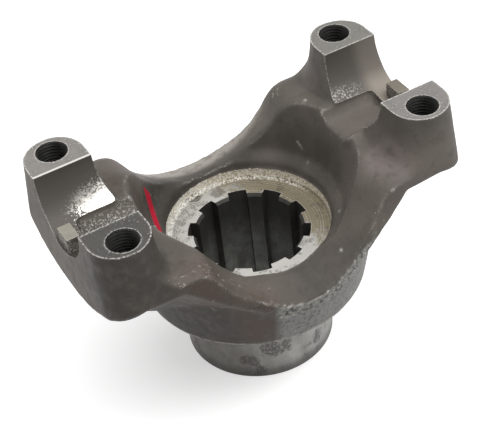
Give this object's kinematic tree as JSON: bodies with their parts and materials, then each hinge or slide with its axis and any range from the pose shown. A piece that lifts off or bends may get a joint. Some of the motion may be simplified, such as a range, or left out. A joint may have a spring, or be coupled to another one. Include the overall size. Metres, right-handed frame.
{
  "type": "half-round end yoke flange",
  "caption": "One-piece forged differential end yoke: splined hub tube, round skirt with a nut pocket, and two ears with half-round bearing cup cradles.",
  "frame": {"origin": "centre of the hub's flat end face, on the axis of the splined bore", "axes": "+Z along the hub's axis, from the splined tube towards the ears; +X along the common axis of the two bearing cup cradles"},
  "size_m": [0.138, 0.0888, 0.0945],
  "materials": {
    "forged_steel": "dark as-forged scale with satin machined faces"
  },
  "bodies": {
    "root": {"end_yoke": "forged_steel"}
  },
  "joints": []
}
